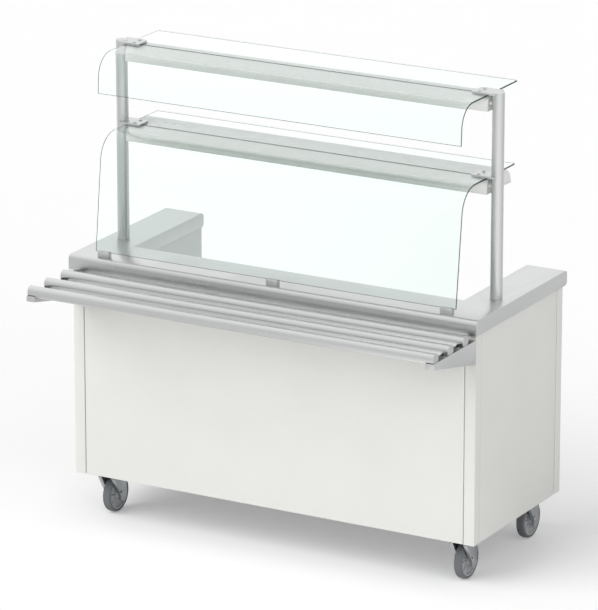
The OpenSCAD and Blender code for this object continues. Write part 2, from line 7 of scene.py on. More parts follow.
import bmesh
import bpy
from mathutils import Matrix, Vector


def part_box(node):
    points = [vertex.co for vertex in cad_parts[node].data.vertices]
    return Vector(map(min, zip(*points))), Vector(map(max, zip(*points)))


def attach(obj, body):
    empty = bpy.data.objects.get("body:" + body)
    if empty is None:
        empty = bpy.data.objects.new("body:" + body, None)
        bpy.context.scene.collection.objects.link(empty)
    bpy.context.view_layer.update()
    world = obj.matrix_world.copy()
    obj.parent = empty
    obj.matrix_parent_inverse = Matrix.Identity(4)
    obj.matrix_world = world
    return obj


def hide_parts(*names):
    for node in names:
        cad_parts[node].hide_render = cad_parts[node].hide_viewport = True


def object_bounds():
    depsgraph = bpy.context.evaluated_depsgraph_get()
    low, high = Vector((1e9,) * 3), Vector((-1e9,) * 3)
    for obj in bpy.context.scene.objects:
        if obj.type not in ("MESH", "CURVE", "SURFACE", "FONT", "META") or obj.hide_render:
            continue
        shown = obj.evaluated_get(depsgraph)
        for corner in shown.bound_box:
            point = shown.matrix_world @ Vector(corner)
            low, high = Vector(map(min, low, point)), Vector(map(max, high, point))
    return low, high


bl_info = {
    "name": "Mobile Salad Bar",
    "version": (1, 0, 0),
    "blender": (4, 5, 0),
    "location": "View3D > Sidebar > Salad Bar",
    "description": "Dresses a mobile salad bar with its sheet metal, glass, hoods and castors",
    "category": "Object",
}

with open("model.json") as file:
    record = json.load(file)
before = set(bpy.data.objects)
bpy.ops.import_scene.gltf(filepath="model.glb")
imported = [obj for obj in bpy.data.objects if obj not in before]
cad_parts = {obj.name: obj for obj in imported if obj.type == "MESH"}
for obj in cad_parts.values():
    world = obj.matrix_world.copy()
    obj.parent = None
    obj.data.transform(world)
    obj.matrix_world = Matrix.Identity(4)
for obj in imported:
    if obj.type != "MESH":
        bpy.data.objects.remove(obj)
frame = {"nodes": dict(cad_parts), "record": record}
cad_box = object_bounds()

MM = 0.001
BODY_OF = {
    node: body for body, nodes in frame["record"]["behaviour"]["bodies"].items() for node in nodes}
CORNERS = ("front_left", "front_right", "rear_left", "rear_right")
SIDES = ("left", "right")
TIERS = ("upper", "lower")
ROWS = ("front", "middle", "rear")

# A mix node has sockets for every type of data. These are its two colours and what they give.
MIX_A, MIX_B, MIXED = 6, 7, 2


def linear(hex_colour):
    """An sRGB hex colour as the linear RGBA that Blender's sockets hold."""
    channels = [int(hex_colour[i:i + 2], 16) / 255 for i in (1, 3, 5)]
    return (*(c / 12.92 if c <= 0.04045 else ((c + 0.055) / 1.055) ** 2.4 for c in channels), 1.0)


# ---- properties ----

def colour(name, description, hex_colour):
    """A colour property with its default written as sRGB hex."""
    return bpy.props.FloatVectorProperty(
        name=name, description=description, subtype="COLOR", size=4, min=0.0, max=1.0,
        default=linear(hex_colour))


def length(name, description, millimetres):
    """A length property with its default written in millimetres."""
    return bpy.props.FloatProperty(
        name=name, description=description, unit="LENGTH", min=0.0, precision=5,
        default=millimetres * MM)


def angle(name, description, degrees):
    """An angle property with its default written in degrees."""
    return bpy.props.FloatProperty(
        name=name, description=description, unit="ROTATION", default=math.radians(degrees))


class SaladBarColours(bpy.types.PropertyGroup):
    """Finish colours. The drawing gives none, so these are pale trade finishes."""

    panel: colour("Panels", "Powder coat on the panels and corner posts", "#EDEDEA")
    panel_cloud: colour("Panel clouding", "Powder coat where it lies a little thicker", "#E5E5E1")
    hood: colour("Light hoods", "Stoved enamel on the hoods and lamp trays", "#F1F1EF")
    hood_cloud: colour("Hood clouding", "Enamel where it lies a little thicker", "#EAEAE7")
    steel: colour("Stainless steel", "Worktop, linings, posts and slide tubes", "#CFD0D0")
    zinc: colour("Zinc plate", "Castor forks and fasteners", "#B4B8BB")
    glass: colour("Glass", "The body of each pane", "#EFF7F4")
    glass_edge: colour("Glass edge", "The ground edges of each pane", "#2F4F45")
    tyre: colour("Tyres", "Non-marking castor treads", "#6F7274")
    hub: colour("Hubs", "Moulded castor wheels", "#B3B5B7")
    cap: colour("Tube caps", "Moulded ends of the slide tubes", "#C4C6C8")
    chassis: colour("Chassis paint", "The welded frame under the cabinet", "#7D8082")
    chassis_cloud: colour("Chassis clouding", "Chassis paint where it is thin", "#727577")
    lamp: colour("Lamp", "The phosphor inside a lamp's glass tube", "#F4F4EE")
    board: colour("Core board", "Resin between the chips of the worktop's core", "#A98A62")
    board_chip: colour("Core chips", "Wood chips in the worktop's core", "#C9A97A")


class SaladBarSizes(bpy.types.PropertyGroup):
    """Sizes of the detail that the construction model leaves plain."""

    sheet_fold: length("Sheet fold", "Outside radius of a bend in the cabinet's sheet", 2.4)
    worktop_fold: length("Worktop fold", "Radius along the worktop's end edges", 1.4)
    fitting_edge: length("Fitting edge", "Rounding of clamps, clips and brackets", 0.9)
    arris: length("Glass arris", "Width of the ground bevel along a pane's edges", 0.8)
    glass: length("Glass thickness", "Thickness of every pane", 6.0)
    seat: length("Glass seat", "Film of air round a pane, which keeps its surfaces clear", 0.2)
    lower_bend: length("Lower bend", "Outside bend radius of the lower guard", 90.0)
    upper_bend: length("Upper bend", "Outside bend radius of the upper guard", 76.0)
    lower_lean: angle("Lower lean", "Rearward lean of the lower guard", 6.6)
    upper_lean: angle("Upper lean", "Rearward lean of the upper guard", 3.0)
    hood_sheet: length("Hood sheet", "Thickness of a hood's sheet", 2.0)
    lower_hood_top: length("Lower hood top", "Width of the lower hood's flat top", 104.0)
    upper_hood_top: length("Upper hood top", "Width of the upper hood's flat top", 36.0)
    hood_shoulder: length("Hood shoulder", "Setback of a hood's top from its front lip", 16.0)
    hood_lip: length("Hood lip", "Width of the lips along a hood's underside", 8.0)
    lamp_ferrule: length("Lamp ferrule", "Length of the metal cap at each end of a lamp", 16.0)
    screw_socket: length("Screw socket", "Width of the hexagon in a clamp screw's head", 3.2)
    hub_rib: length("Hub rib", "Thickness of the ribs moulded on a castor's wheel", 3.0)


class SaladBarStage(bpy.types.PropertyGroup):
    """The camera, at the drawing's viewpoint, and the studio light."""

    azimuth: angle("Azimuth", "The camera's angle round the counter", 29.2)
    elevation: angle("Elevation", "The camera's angle above the horizon", 17.3)
    distance: length("Distance", "From the camera to its target", 16360.0)
    target: bpy.props.FloatVectorProperty(
        name="Target", description="The point in the middle of the picture", subtype="XYZ",
        unit="LENGTH", default=(-0.0683, 0.1410, 0.7523))
    lens: bpy.props.FloatProperty(
        name="Lens", description="Focal length on a 36 mm sensor, in millimetres", default=295.4)
    key: bpy.props.FloatProperty(
        name="Key light", description="Irradiance of the main light", default=1.75)
    fill: bpy.props.FloatProperty(
        name="Fill light", description="Irradiance of the light on the camera's side", default=0.80)
    sky: bpy.props.FloatProperty(
        name="Sky", description="Brightness of the studio round the counter", default=0.42)
    paper_glow: bpy.props.FloatProperty(
        name="Paper glow", description="What lifts the lit paper to white for the camera", default=0.22)
    dim_side: bpy.props.FloatProperty(
        name="Dim side", description="What metal mirrors of the studio's dim sides", default=0.74)
    side_glow: bpy.props.FloatProperty(
        name="Side glow", description="How much more metal mirrors of the studio's bright sides",
        default=0.40)
    top_glow: bpy.props.FloatProperty(
        name="Top glow", description="How much more metal mirrors of the studio's ceiling", default=0.30)


def colours():
    """The finish colours that the scene holds."""
    return bpy.context.scene.salad_bar_colours


def sizes():
    """The sizes of detail that the scene holds."""
    return bpy.context.scene.salad_bar_sizes


# ---- materials ----

def add(tree, kind, links=None, **settings):
    """Adds one node. links maps an input to its value, or to the socket that feeds it."""
    node = tree.nodes.new(kind)
    for name, value in settings.items():
        setattr(node, name, value)
    for name, value in (links or {}).items():
        if isinstance(value, bpy.types.NodeSocket):
            tree.links.new(value, node.inputs[name])
        else:
            node.inputs[name].default_value = value
    return node


def repeat(millimetres):
    """The scale at which a pattern's features are that far apart."""
    return 1 / (millimetres * MM)


def blank(name, **surface):
    """A new material. surface holds what is the same all over it, set on the shader's sockets."""
    made = bpy.data.materials.new(name)
    made.use_nodes = True
    shader = made.node_tree.nodes["Principled BSDF"]
    for socket, value in surface.items():
        shader.inputs[socket.replace("_", " ")].default_value = value
    return made, made.node_tree, shader


def brushed_stainless(name, along, grain_mm=2.0, run_mm=160.0):
    """Stainless sheet, brushed with a belt. The eye sees fine lines along the grain and a soft
    highlight across them. The grain is drawn wider than life, so that it shows."""
    made, tree, shader = blank(name, Base_Color=colours().steel, Metallic=1.0)
    scale = [repeat(grain_mm)] * 3
    scale[along] = repeat(run_mm)
    place = add(tree, "ShaderNodeTexCoord").outputs["Object"]
    drawn_out = add(tree, "ShaderNodeMapping", {"Vector": place, "Scale": scale})
    grain = add(tree, "ShaderNodeTexNoise", {
        "Vector": drawn_out.outputs["Vector"], "Scale": 1.0, "Detail": 3.0})
    smear = add(tree, "ShaderNodeTexNoise", {"Vector": place, "Scale": repeat(180), "Detail": 2.0})
    both = add(tree, "ShaderNodeMath", {0: grain.outputs["Fac"], 1: smear.outputs["Fac"]},
               operation="ADD")
    rough = add(tree, "ShaderNodeMapRange", {
        "Value": both.outputs["Value"], "From Min": 0.6, "From Max": 1.4,
        "To Min": 0.24, "To Max": 0.40})
    bump = add(tree, "ShaderNodeBump", {
        "Height": grain.outputs["Fac"], "Strength": 0.25, "Distance": 0.05 * MM})
    tree.links.new(rough.outputs["Result"], shader.inputs["Roughness"])
    tree.links.new(bump.outputs["Normal"], shader.inputs["Normal"])
    return made


@functools.cache
def stainless_along():
    """The worktop, floor and slide tubes are brushed along the counter."""
    return brushed_stainless("Brushed stainless steel, grain along the counter", 0)


@functools.cache
def stainless_upright():
    """The posts and the bay's linings are brushed up and down."""
    return brushed_stainless("Brushed stainless steel, upright grain", 2)


def coating(name, base, cloud, roughness, peel_mm, coat):
    """Baked paint on sheet steel. The eye sees an even colour, a soft broad highlight and, close
    to, the faint orange peel that the coating flows out to."""
    made, tree, shader = blank(name, Coat_Weight=coat, Coat_Roughness=0.15)
    place = add(tree, "ShaderNodeTexCoord").outputs["Object"]
    clouds = add(tree, "ShaderNodeTexNoise", {"Vector": place, "Scale": repeat(220), "Detail": 3.0})
    paint = add(tree, "ShaderNodeMix", {
        "Factor": clouds.outputs["Fac"], MIX_A: base, MIX_B: cloud}, data_type="RGBA")
    rough = add(tree, "ShaderNodeMapRange", {
        "Value": clouds.outputs["Fac"], "To Min": roughness - 0.05, "To Max": roughness + 0.05})
    peel = add(tree, "ShaderNodeTexNoise", {"Vector": place, "Scale": repeat(peel_mm), "Detail": 1.0})
    bump = add(tree, "ShaderNodeBump", {
        "Height": peel.outputs["Fac"], "Strength": 0.10, "Distance": 0.05 * MM})
    tree.links.new(paint.outputs[MIXED], shader.inputs["Base Color"])
    tree.links.new(rough.outputs["Result"], shader.inputs["Roughness"])
    tree.links.new(bump.outputs["Normal"], shader.inputs["Normal"])
    return made


@functools.cache
def powder_coat():
    """Polyester powder coat: matt enough to hide fingermarks, with a fine orange peel."""
    return coating("White polyester powder coat", colours().panel, colours().panel_cloud,
                   roughness=0.42, peel_mm=3.0, coat=0.0)


@functools.cache
def enamel():
    """Stoved enamel on the hoods: whiter and glossier than the panels, to throw the light down."""
    return coating("White stoved enamel", colours().hood, colours().hood_cloud,
                   roughness=0.28, peel_mm=5.0, coat=0.3)


@functools.cache
def chassis_paint():
    """Air-dried grey paint on the frame: dull and a little uneven."""
    return coating("Grey chassis paint", colours().chassis, colours().chassis_cloud,
                   roughness=0.6, peel_mm=4.0, coat=0.0)


@functools.cache
def float_glass():
    """Toughened float glass. The eye sees through it, with clear reflections that a wiping cloth
    has left slightly uneven."""
    made, tree, shader = blank(
        "Toughened float glass", Base_Color=colours().glass, Transmission_Weight=1.0, IOR=1.52)
    place = add(tree, "ShaderNodeTexCoord").outputs["Object"]
    wiped = add(tree, "ShaderNodeTexNoise", {"Vector": place, "Scale": repeat(90), "Detail": 4.0})
    rough = add(tree, "ShaderNodeMapRange", {
        "Value": wiped.outputs["Fac"], "From Min": 0.45, "From Max": 0.8,
        "To Min": 0.0, "To Max": 0.04})
    tree.links.new(rough.outputs["Result"], shader.inputs["Roughness"])
    return made


@functools.cache
def ground_glass_edge():
    """The ground edge of float glass. Light that has run through the whole pane comes out here, so
    the eye sees a dark green line."""
    made, tree, shader = blank(
        "Ground edge of float glass", Base_Color=colours().glass_edge, Transmission_Weight=0.2,
        IOR=1.52)
    place = add(tree, "ShaderNodeTexCoord").outputs["Object"]
    grit = add(tree, "ShaderNodeTexNoise", {"Vector": place, "Scale": repeat(1.5), "Detail": 1.0})
    rough = add(tree, "ShaderNodeMapRange", {
        "Value": grit.outputs["Fac"], "To Min": 0.22, "To Max": 0.38})
    tree.links.new(rough.outputs["Result"], shader.inputs["Roughness"])
    return made


@functools.cache
def zinc_plate():
    """Bright zinc plating, passivated blue. The eye sees a cool metal, cloudy from one crystal
    patch to the next."""
    made, tree, shader = blank("Bright zinc plate", Base_Color=colours().zinc, Metallic=1.0)
    place = add(tree, "ShaderNodeTexCoord").outputs["Object"]
    patches = add(tree, "ShaderNodeTexVoronoi", {"Vector": place, "Scale": repeat(7)})
    rough = add(tree, "ShaderNodeMapRange", {
        "Value": patches.outputs["Distance"], "To Min": 0.26, "To Max": 0.42})
    tree.links.new(rough.outputs["Result"], shader.inputs["Roughness"])
    return made


def moulded(name, base, roughness, grain_mm, depth_mm):
    """Moulded plastic or rubber. The eye sees a dull even colour and the mould's fine stipple."""
    made, tree, shader = blank(name, Base_Color=base, IOR=1.5)
    place = add(tree, "ShaderNodeTexCoord").outputs["Object"]
    stipple = add(tree, "ShaderNodeTexNoise", {
        "Vector": place, "Scale": repeat(grain_mm), "Detail": 2.0})
    rough = add(tree, "ShaderNodeMapRange", {
        "Value": stipple.outputs["Fac"], "To Min": roughness - 0.08, "To Max": roughness + 0.08})
    bump = add(tree, "ShaderNodeBump", {
        "Height": stipple.outputs["Fac"], "Strength": 0.3, "Distance": depth_mm * MM})
    tree.links.new(rough.outputs["Result"], shader.inputs["Roughness"])
    tree.links.new(bump.outputs["Normal"], shader.inputs["Normal"])
    return made


@functools.cache
def castor_tread():
    """Thermoplastic rubber, moulded on the wheel: grey, so that it leaves no marks, and matt."""
    return moulded("Grey thermoplastic rubber", colours().tyre,
                   roughness=0.72, grain_mm=2.0, depth_mm=0.15)


@functools.cache
def castor_nylon():
    """Glass-filled nylon, moulded: pale grey with a soft sheen."""
    return moulded("Moulded grey nylon", colours().hub,
                   roughness=0.48, grain_mm=1.5, depth_mm=0.08)


@functools.cache
def cap_plastic():
    """Polyethylene, moulded: a waxy grey plug in the end of a tube."""
    return moulded("Moulded grey polyethylene", colours().cap,
                   roughness=0.5, grain_mm=1.5, depth_mm=0.08)


@functools.cache
def lamp_phosphor():
    """A lamp's glass tube, coated white inside: glossy glass over a chalky white."""
    made, tree, shader = blank("Phosphor-coated lamp glass", Coat_Weight=0.6, Coat_Roughness=0.03)
    place = add(tree, "ShaderNodeTexCoord").outputs["Object"]
    chalk = add(tree, "ShaderNodeTexNoise", {"Vector": place, "Scale": repeat(30), "Detail": 2.0})
    tint = add(tree, "ShaderNodeMix", {
        "Factor": chalk.outputs["Fac"], MIX_A: colours().lamp, MIX_B: colours().hood},
        data_type="RGBA")
    tree.links.new(tint.outputs[MIXED], shader.inputs["Base Color"])
    return made


@functools.cache
def particle_board():
    """Pressed particle board under the steel. The eye sees pale chips in a darker resin."""
    made, tree, shader = blank("Particle board", Roughness=0.85)
    place = add(tree, "ShaderNodeTexCoord").outputs["Object"]
    chips = add(tree, "ShaderNodeTexVoronoi", {"Vector": place, "Scale": repeat(4)})
    tint = add(tree, "ShaderNodeMix", {
        "Factor": chips.outputs["Distance"], MIX_A: colours().board_chip, MIX_B: colours().board},
        data_type="RGBA")
    tree.links.new(tint.outputs[MIXED], shader.inputs["Base Color"])
    return made


def seen(tree, *kinds):
    """1 for the named kinds of ray, and 0 for all that a matt surface gathers, also through a
    pane."""
    path = add(tree, "ShaderNodeLightPath")
    fresh = add(tree, "ShaderNodeMath", {0: path.outputs["Diffuse Depth"], 1: 0.5},
                operation="LESS_THAN")
    level = path.outputs[kinds[0]]
    for kind in kinds[1:]:
        either = add(tree, "ShaderNodeMath", {0: level, 1: path.outputs[kind]}, operation="MAXIMUM")
        level = either.outputs["Value"]
    return add(tree, "ShaderNodeMath", {0: level, 1: fresh.outputs["Value"]},
               operation="MULTIPLY").outputs["Value"]


def mirrored_studio(tree, place, dim):
    """How bright the studio is to metal: bright overhead, to the front right and to the rear left,
    and dim on the sides between, so that a round tube shows its shape. X times Y runs from -0.5
    towards the bright sides to 0.5 towards the dim ones."""
    stage = bpy.context.scene.salad_bar_stage
    way = add(tree, "ShaderNodeVectorMath", {0: place}, operation="NORMALIZE")
    apart = add(tree, "ShaderNodeSeparateXYZ", {"Vector": way.outputs["Vector"]})
    side = add(tree, "ShaderNodeMath", {0: apart.outputs["X"], 1: apart.outputs["Y"]},
               operation="MULTIPLY")
    level = add(tree, "ShaderNodeMapRange", {
        "Value": side.outputs["Value"], "From Min": -0.5, "From Max": 0.5,
        "To Min": dim + stage.side_glow, "To Max": dim})
    high = add(tree, "ShaderNodeMath", {0: apart.outputs["Z"], 1: 2.0}, operation="POWER")
    return add(tree, "ShaderNodeMath", {
        0: high.outputs["Value"], 1: stage.top_glow, 2: level.outputs["Result"]},
        operation="MULTIPLY_ADD").outputs["Value"]


@functools.cache
def white_paper():
    """The studio's seamless paper. It is matt, and to the camera it glows enough to read as white
    round the counter's shadow. To metal it glows with a painted reflection: brighter in the
    quarters to the front right and the rear left, and dimmer in the two between."""
    stage = bpy.context.scene.salad_bar_stage
    made, tree, shader = blank("White seamless paper", Roughness=0.9)
    place = add(tree, "ShaderNodeTexCoord").outputs["Object"]
    fibres = add(tree, "ShaderNodeTexNoise", {"Vector": place, "Scale": 3.0, "Detail": 2.0})
    tint = add(tree, "ShaderNodeMix", {
        "Factor": fibres.outputs["Fac"], MIX_A: linear("#EFEFEF"), MIX_B: linear("#EDEDED")},
        data_type="RGBA")
    shown = add(tree, "ShaderNodeMath", {
        0: seen(tree, "Is Camera Ray", "Is Transmission Ray"), 1: stage.paper_glow},
        operation="MULTIPLY")
    # Painted reflection: to glossy rays the paper glows brighter in two quarters and dimmer in the two
    # between, so that metal shows bright and dim sides.
    white_glow_and_painted_reflection = add(tree, "ShaderNodeMapRange", {
        "Value": seen(tree, "Is Glossy Ray"), "To Min": shown.outputs["Value"],
        "To Max": mirrored_studio(tree, place, 0.0)})
    tree.links.new(tint.outputs[MIXED], shader.inputs["Base Color"])
    tree.links.new(white_glow_and_painted_reflection.outputs["Result"], shader.inputs["Emission Strength"])
    shader.inputs["Emission Color"].default_value = linear("#FFFFFF")
    return made


# ---- meshes ----

def band(low, high):
    """Middle and half-extent of a range."""
    return (low + high) / 2, (high - low) / 2


def arc(centre, radius, start, end, steps):
    """Points along an arc in a plane, by angle in radians."""
    turns = [start + (end - start) * i / steps for i in range(steps + 1)]
    return [(centre[0] + radius * math.cos(t), centre[1] + radius * math.sin(t)) for t in turns]


def curve(a, b, c, steps, first=0):
    """Points along a quadratic curve from a to c, drawn towards b."""
    points = []
    for i in range(first, steps + 1):
        t = i / steps
        points.append(tuple(
            (1 - t) ** 2 * p + 2 * t * (1 - t) * q + t * t * r for p, q, r in zip(a, b, c)))
    return points


def prism(mesh, outline, x_low, x_high, edge_material=0, edge_sides=()):
    """Carries an outline in (Y, Z) along X and caps it. The caps and the named sides get the
    edge's material."""
    low = [mesh.verts.new((x_low, y, z)) for y, z in outline]
    high = [mesh.verts.new((x_high, y, z)) for y, z in outline]
    for cap in (low, list(reversed(high))):
        mesh.faces.new(cap).material_index = edge_material
    count = len(outline)
    for i in range(count):
        j = (i + 1) % count
        side = mesh.faces.new((low[j], low[i], high[i], high[j]))
        side.material_index = edge_material if i in edge_sides else 0
    bmesh.ops.recalc_face_normals(mesh, faces=mesh.faces)


def circle(radius, steps):
    """Points round a circle about the origin."""
    return arc((0, 0), radius, 0, 2 * math.pi * (steps - 1) / steps, steps - 1)


def turned(mesh, profile, place, steps=64, material=0, closed=False):
    """Turns a profile of (radius, height) about Z and sets it in place. A closed profile is a
    ring's section; an open one starts and ends on the axis."""
    hoops = []
    for radius, height in profile:
        around = circle(radius, steps) if radius > 1e-7 else [(0, 0)]
        hoops.append([mesh.verts.new(place @ Vector((x, y, height))) for x, y in around])
    faces = []
    for a, b in zip(hoops, hoops[1:] + hoops[:1] if closed else hoops[1:]):
        for i in range(steps):
            j = (i + 1) % steps
            corners = [a[i % len(a)], a[j % len(a)], b[j % len(b)], b[i % len(b)]]
            faces.append(mesh.faces.new(list(dict.fromkeys(corners))))
    for face in faces:
        face.material_index = material
    bmesh.ops.recalc_face_normals(mesh, faces=faces)


def hexagon(width, steps, slope=0.0):
    """Points round a hexagon of that width across its flats, the same count as a circle's. With a
    slope its corners fall away as if a cone had cut them."""
    sixth = math.pi / 3
    ring = []
    for i in range(steps):
        turn = 2 * math.pi * i / steps
        off = (turn + sixth / 2) % sixth - sixth / 2
        reach = width / 2 / math.cos(off)
        ring.append((reach * math.cos(turn), reach * math.sin(turn), slope * (reach - width / 2)))
    return ring


def rings(mesh, layers, place):
    """Skins a stack of (ring, height) with equal counts. A ring's point may add a height of its own.
    The first and last rings are capped."""
    made = [[mesh.verts.new(place @ Vector((p[0], p[1], z + sum(p[2:])))) for p in ring]
            for ring, z in layers]
    count = len(made[0])
    faces = [mesh.faces.new(made[0]), mesh.faces.new(made[-1])]
    for a, b in zip(made, made[1:]):
        for i in range(count):
            j = (i + 1) % count
            faces.append(mesh.faces.new((a[i], a[j], b[j], b[i])))
    bmesh.ops.recalc_face_normals(mesh, faces=faces)


def copied(node):
    """A clean mesh of a CAD node: one vertex at each corner and one face on each flat."""
    mesh = bmesh.new()
    mesh.from_mesh(frame["nodes"][node].data)
    bmesh.ops.remove_doubles(mesh, verts=mesh.verts, dist=0.002 * MM)
    bmesh.ops.dissolve_limit(
        mesh, angle_limit=math.radians(0.6), verts=mesh.verts, edges=mesh.edges)
    for face in mesh.faces:
        face.material_index = 0
    return mesh


def rounded(mesh, edges, width, segments, material=-1):
    """Bevels edges to a round section."""
    bmesh.ops.bevel(
        mesh, geom=edges, offset=width, segments=segments, profile=0.5, affect="EDGES",
        clamp_overlap=True, material=material)


def eased(mesh, width, segments=2, over=28, material=-1, shortest=0.0, seams=False):
    """Rounds every edge that turns by more than an angle in degrees. An edge stays sharp where it is
    too short, or where it ends in a corner too tight for the rounding. With seams, an edge within a
    flat counts for such a corner too."""
    tightest = math.radians(25)
    sharp = {e for e in mesh.edges if e.is_manifold and e.calc_face_angle(0) > math.radians(over)
             and e.calc_length() >= shortest}
    tight = set()
    for vert in mesh.verts:
        ways = [edge.other_vert(vert).co - vert.co
                for edge in vert.link_edges if seams or edge in sharp]
        if any(a.angle(b) < tightest for i, a in enumerate(ways) for b in ways[:i]):
            tight.update(vert.link_edges)
    rounded(mesh, list(sharp - tight), width, segments, material)


def folded(mesh, node, radius):
    """Rounds the outer folds of a sheet or square tube: the edges that lie on two sides of its
    box."""
    near = 0.01 * MM
    box_sides = [(axis, limit[axis]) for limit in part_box(node) for axis in range(3)]

    def sides_of(edge):
        return sum(all(abs(vert.co[axis] - at) < near for vert in edge.verts)
                   for axis, at in box_sides)

    rounded(mesh, [edge for edge in mesh.edges if sides_of(edge) >= 2], radius, segments=4)


def piece(name, mesh, slot, materials, *stands_for, smooth=32):
    """Makes an object of a mesh, shades it, and sets it on the body of the CAD nodes that it stands
    for. Edges that turn by more than smooth, in degrees, are shaded sharp."""
    body = BODY_OF[stands_for[0]]
    data = bpy.data.meshes.new(name)
    mesh.to_mesh(data)
    mesh.free()
    for material in materials:
        data.materials.append(material)
    data.polygons.foreach_set("use_smooth", [True] * len(data.polygons))
    data.set_sharp_from_angle(angle=math.radians(smooth))
    made = bpy.data.objects.new(name, data)
    bpy.context.scene.collection.objects.link(made)
    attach(made, body)
    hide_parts(*stands_for)
    return made


def eased_copy(name, node, width, slot, material, segments=2):
    """A CAD node with its edges rounded, which then stands for it."""
    mesh = copied(node)
    eased(mesh, width, segments)
    piece(name, mesh, slot, [material], node)


def finish_node(node, material):
    """Gives a CAD node that stays its material."""
    data = frame["nodes"][node].data
    data.materials.clear()
    data.materials.append(material)


def towards(direction):
    """Turns Z to lie along a direction."""
    return Vector(direction).to_track_quat("Z", "Y").to_matrix().to_4x4()


# ---- operators ----

class SALADBAR_OT_worktop(bpy.types.Operator):
    """Makes the U-shaped stainless worktop and its board core"""

    bl_idname = "salad_bar.worktop"
    bl_label = "Worktop"

    def execute(self, context):
        eased_copy("worktop_skin", "worktop", sizes().worktop_fold, "brushed_stainless",
                   stainless_along(), segments=3)
        finish_node("worktop_core", particle_board())
        return {"FINISHED"}


class SALADBAR_OT_cabinet(bpy.types.Operator):
    """Makes the folded panels and the square corner posts"""

    bl_idname = "salad_bar.cabinet"
    bl_label = "Cabinet"

    def execute(self, context):
        for panel in ("front_panel", "end_panel_left", "end_panel_right"):
            self.sheet(panel + "_sheet", panel)
        for corner in CORNERS:
            self.sheet("corner_post_" + corner + "_tube", "corner_post_" + corner)
        return {"FINISHED"}

    def sheet(self, name, node):
        """Coated sheet steel, with the radius of the press brake along its folds."""
        mesh = copied(node)
        folded(mesh, node, sizes().sheet_fold)
        piece(name, mesh, "coated_panel", [powder_coat()], node)


class SALADBAR_OT_bay(bpy.types.Operator):
    """Finishes the open bay at the rear: linings, floor and the frame under it"""

    bl_idname = "salad_bar.bay"
    bl_label = "Bay and Frame"

    def execute(self, context):
        for node in ("pedestal_lining_left", "pedestal_lining_right", "bay_front_panel"):
            finish_node(node, stainless_upright())
        finish_node("base_deck", stainless_along())
        finish_node("base_frame", chassis_paint())
        return {"FINISHED"}


class SALADBAR_OT_posts(bpy.types.Operator):
    """Makes the two gantry posts, with the plugs in their tops"""

    bl_idname = "salad_bar.posts"
    bl_label = "Gantry Posts"

    def execute(self, context):
        for side in SIDES:
            self.post(side)
        eased_copy("post_caps_turned", "post_caps", 0.3 * MM, "brushed_stainless",
                   stainless_upright())
        finish_node("post_fixings", zinc_plate())
        return {"FINISHED"}

    def post(self, side):
        """A drawn tube, with its cut ends eased."""
        node = "gantry_post_" + side
        low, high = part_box(node)
        x, radius = band(low.x, high.x)
        y = (low.y + high.y) / 2
        wall = 2 * MM
        ease = 0.4 * MM
        section = [
            (radius, low.z + ease), (radius, high.z - ease), (radius - ease, high.z),
            (radius - wall, high.z), (radius - wall, low.z), (radius - ease, low.z)]
        mesh = bmesh.new()
        turned(mesh, section, Matrix.Translation((x, y, 0)), steps=72, closed=True)
        piece("gantry_post_tube_" + side, mesh, "brushed_stainless", [stainless_upright()], node)


class SALADBAR_OT_glass(bpy.types.Operator):
    """Makes the bent guards and the flat shelves, with ground edges"""

    bl_idname = "salad_bar.glass"
    bl_label = "Glass"

    def execute(self, context):
        own = sizes()
        self.guard("upper", own.upper_bend, own.upper_lean)
        self.guard("lower", own.lower_bend, own.lower_lean)
        for tier in TIERS:
            self.shelf(tier)
        return {"FINISHED"}

    def pane(self, name, node, outline, edge_sides):
        """A pane of one section, a film of air smaller than its place, with an arris ground on."""
        low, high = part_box(node)
        mesh = bmesh.new()
        prism(mesh, outline, low.x, high.x, edge_material=1, edge_sides=edge_sides)
        mesh.normal_update()
        for vert in mesh.verts:
            vert.co -= vert.normal * sizes().seat
        eased(mesh, sizes().arris, segments=1, over=45, material=1)
        made = piece(name, mesh, "clear_glass", [float_glass(), ground_glass_edge()], node, smooth=20)
        made.visible_shadow = False

    def guard(self, tier, bend, lean):
        """A leaning front, one bend and a flat top that ends at the seam."""
        node = tier + "_guard_glass"
        thick = sizes().glass
        low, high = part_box(node)
        foot = Vector((low.y, low.z + thick * math.sin(lean)))
        corner = foot.x + (high.z - foot.y) * math.tan(lean)
        hub = (corner + bend * math.tan((math.pi / 2 - lean) / 2), high.z - bend)
        steps = 28
        outer = arc(hub, bend, math.pi - lean, math.pi / 2, steps)
        inner = arc(hub, bend - thick, math.pi / 2, math.pi - lean, steps)
        heel = foot + thick * Vector((math.cos(lean), -math.sin(lean)))
        seam_end = [(high.y, high.z), (high.y, high.z - thick)]
        outline = [tuple(foot), *outer, *seam_end, *inner, tuple(heel)]
        seam = len(outer) + 1
        self.pane(tier + "_guard_pane", node, outline, (seam, len(outline) - 1))

    def shelf(self, tier):
        """A flat pane that starts at the guard's seam."""
        node = tier + "_shelf_glass"
        low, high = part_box(node)
        outline = [(low.y, low.z), (low.y, high.z), (high.y, high.z), (high.y, low.z)]
        self.pane(tier + "_shelf_pane", node, outline, (0, 2))


